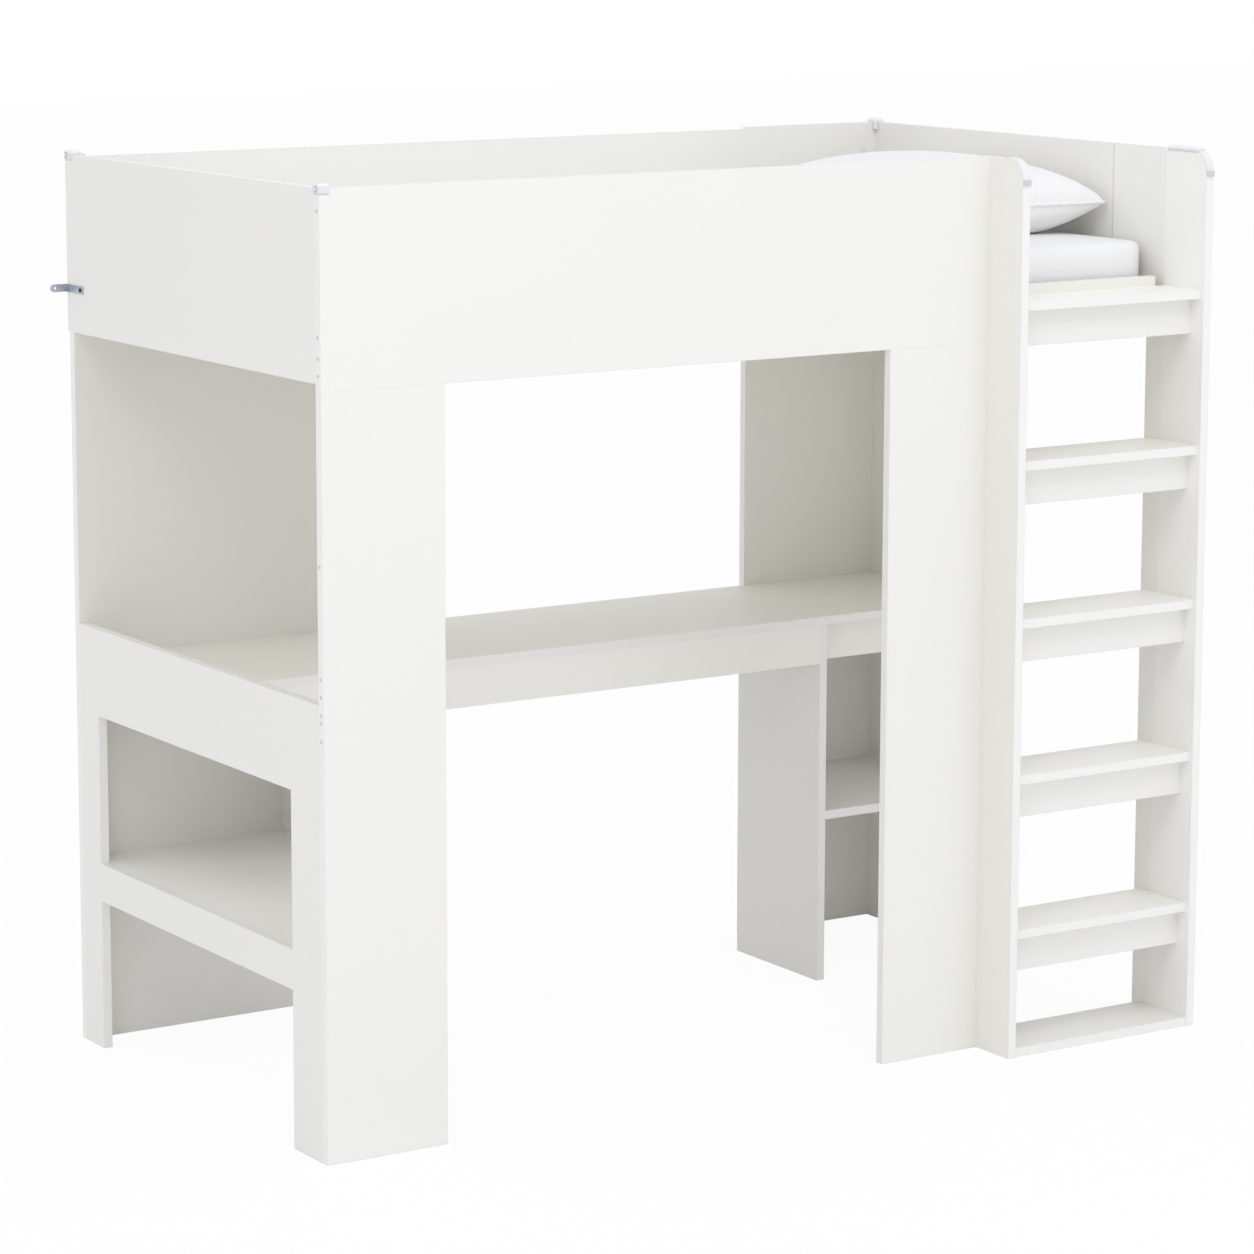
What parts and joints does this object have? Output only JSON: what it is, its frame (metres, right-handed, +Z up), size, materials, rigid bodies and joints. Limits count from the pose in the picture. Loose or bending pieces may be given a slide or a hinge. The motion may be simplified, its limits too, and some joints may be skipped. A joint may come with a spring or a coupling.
{
  "type": "loft bed with desk",
  "caption": "High single bed with guard panels over a full-length desk, with a low cubby, an under-desk shelf and a fixed ladder of deep treads at the front right.",
  "frame": {"origin": "on the floor, under the centre of the whole object's bounding box", "axes": "+X along the bed from the low cubby to the ladder, +Y from the ladder's front to the rear, +Z up"},
  "size_m": [1.9644, 1.115, 1.758],
  "materials": {
    "white_board": "white melamine-faced particle board, satin",
    "pine": "planed untreated pine",
    "cap_plastic": "glossy white moulded plastic",
    "strip_plastic": "smooth white plastic strip",
    "plug_plastic": "pale grey plastic",
    "zinc": "zinc-plated strip steel",
    "steel": "bright zinc-plated fittings",
    "mattress_cover": "plain white fitted cover",
    "pillow_cover": "plain white cotton"
  },
  "bodies": {
    "frame": {"front_guard_panel": "white_board", "front_left_leg": "white_board", "front_right_leg": "white_board", "left_end_guard": "white_board", "left_end_panel": "white_board", "back_left_panel": "white_board", "rear_guard_panel": "white_board", "back_right_panel": "white_board", "right_end_guard": "white_board", "right_end_panel": "white_board", "ladder_left_side": "white_board", "ladder_right_side": "white_board", "ladder_left_cap": "strip_plastic", "ladder_right_cap": "strip_plastic", "tread_1": "white_board", "tread_2": "white_board", "tread_3": "white_board", "tread_4": "white_board", "tread_5": "white_board", "tread_apron_1": "white_board", "tread_apron_2": "white_board", "tread_apron_3": "white_board", "tread_apron_4": "white_board", "tread_apron_5": "white_board", "ladder_base_board": "white_board", "entry_rail": "white_board", "desk_top": "white_board", "desk_apron": "white_board", "left_partition": "white_board", "right_partition": "white_board", "left_shelf": "white_board", "right_shelf": "white_board", "front_side_rail": "white_board", "rear_side_rail": "white_board", "front_ledger": "pine", "rear_ledger": "pine", "slat_1": "pine", "slat_2": "pine", "slat_3": "pine", "slat_4": "pine", "slat_5": "pine", "slat_6": "pine", "slat_7": "pine", "slat_8": "pine", "slat_9": "pine", "slat_10": "pine", "slat_11": "pine", "front_left_corner_cap": "cap_plastic", "rear_left_corner_cap": "cap_plastic", "rear_right_corner_cap": "cap_plastic", "ladder_top_cap": "cap_plastic", "edge_plugs": "plug_plastic", "wall_bracket": "zinc", "cam_locks": "steel", "cam_bolts": "steel", "dowels": "pine", "shelf_pins": "steel", "screws": "steel"},
    "mattress": {"mattress": "mattress_cover"},
    "pillow": {"pillow": "pillow_cover"}
  },
  "joints": [
    {"name": "mattress_lift", "type": "slide", "parent": "frame", "child": "mattress", "axis": [0, 0, 1], "range_m": [0, 0.35]},
    {"name": "pillow_lift", "type": "slide", "parent": "mattress", "child": "pillow", "axis": [0, 0, 1], "range_m": [0, 0.3]}
  ]
}
